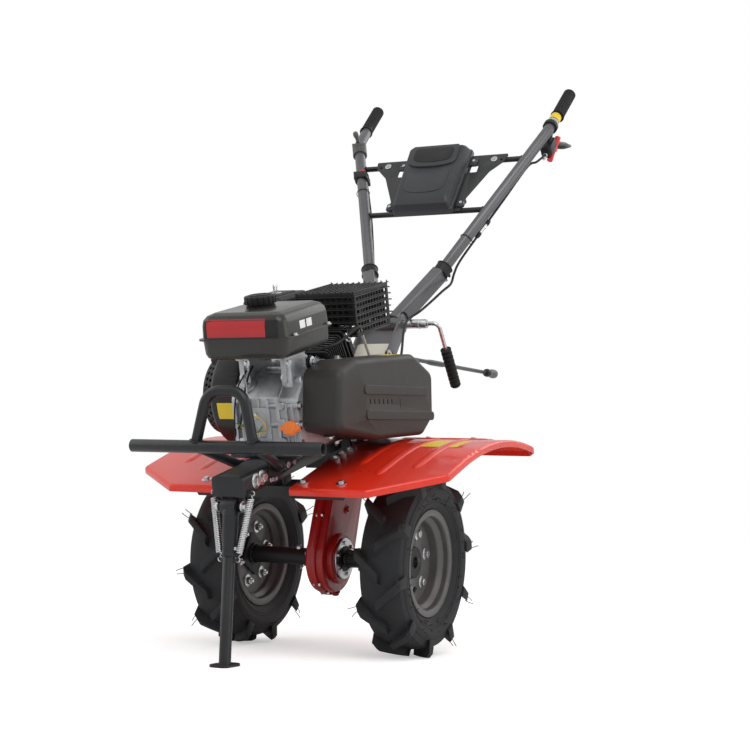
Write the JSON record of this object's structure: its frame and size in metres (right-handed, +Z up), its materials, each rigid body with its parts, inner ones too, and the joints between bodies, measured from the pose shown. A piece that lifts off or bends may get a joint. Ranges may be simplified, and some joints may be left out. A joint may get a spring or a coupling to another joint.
{
  "type": "garden tiller",
  "caption": "Walk-behind power tiller on lugged transport wheels, with a petrol engine, belt drive, chain case, fenders, front bumper, folding stand and adjustable handlebar.",
  "frame": {"origin": "centre of the parked machine's footprint box, on the floor under the lugs and the stand's foot", "axes": "+X forward towards the bumper, +Y to the machine's left, +Z up; parked nose-down on its front stand"},
  "size_m": [1.2732, 0.736, 1.4226],
  "materials": {
    "black_plastic": "matt",
    "cable_black": "matt",
    "case_red": "satin",
    "casting": "cast",
    "cover_plastic": "satin",
    "cowl_black": "satin",
    "dipstick_orange": "satin",
    "engine_black": "satin",
    "fender_red": "gloss",
    "frame_black": "satin",
    "gearbox_black": "satin",
    "grip_rubber": "matt",
    "handle_grey": "gloss",
    "knob_grey": "satin",
    "panel_grey": "satin",
    "panel_plastic": "satin",
    "rim_grey": "satin",
    "shaft_steel": "satin",
    "switch_black": "satin",
    "tank_charcoal": "satin",
    "tyre_rubber": "matt",
    "zinc": "satin"
  },
  "bodies": {
    "chassis": {"air_cleaner": "black_plastic", "belt_cover": "cover_plastic", "blower_housing": "cowl_black", "bumper_bar": "frame_black", "bumper_hoop": "frame_black", "bumper_struts": "frame_black", "cables_lower": "cable_black", "carburettor": "casting", "chain_case": "case_red", "crank_grip": "grip_rubber", "crank_lever": "zinc", "crankcase": "casting", "cross_plate": "frame_black", "cylinder": "engine_black", "cylinder_head": "engine_black", "dipstick": "dipstick_orange", "engine_bed": "frame_black", "fender_brackets": "frame_black", "fender_left": "fender_red", "fender_right": "fender_red", "front_channel": "frame_black", "fuel_cap": "black_plastic", "fuel_tank": "tank_charcoal", "gear_knob": "knob_grey", "gear_lever": "frame_black", "gearbox": "gearbox_black", "handle_base": "handle_grey", "hitch": "frame_black", "muffler": "engine_black", "muffler_guard": "engine_black", "recoil_starter": "black_plastic", "shaft_caps": "zinc", "tank_brackets": "casting"},
    "stand": {"stand_sleeve": "frame_black", "stand_leg": "frame_black", "stand_springs": "zinc"},
    "wheels": {"tyre_left": "tyre_rubber", "tyre_right": "tyre_rubber", "rim_left": "rim_grey", "rim_right": "rim_grey", "hubs": "gearbox_black", "output_shaft": "shaft_steel"},
    "handlebar": {"handle_yoke": "handle_grey", "handle_arms": "handle_grey", "handle_tubes": "handle_grey", "handle_collars": "black_plastic", "grips": "grip_rubber", "cross_bar_lower": "frame_black", "cross_bar_upper": "frame_black", "panel_plate": "panel_grey", "panel_cover": "panel_plastic", "clutch_lever": "switch_black", "throttle_lever": "knob_grey", "stop_switch": "switch_black", "cables_upper": "cable_black"}
  },
  "joints": [
    {"name": "wheels_turn", "type": "hinge", "parent": "chassis", "child": "wheels", "pos_m": [0.15939, 0, 0.2], "axis": [0, 1, 0], "continuous": true},
    {"name": "stand_fold", "type": "hinge", "parent": "chassis", "child": "stand", "pos_m": [0.58586, 0, 0.31211], "axis": [0, -1, 0], "range_deg": [0, 75], "deforming": ["stand_springs"]},
    {"name": "handlebar_height", "type": "hinge", "parent": "chassis", "child": "handlebar", "pos_m": [-0.0777, 0, 0.7483], "axis": [0, 1, 0], "range_deg": [-15, 15]}
  ]
}
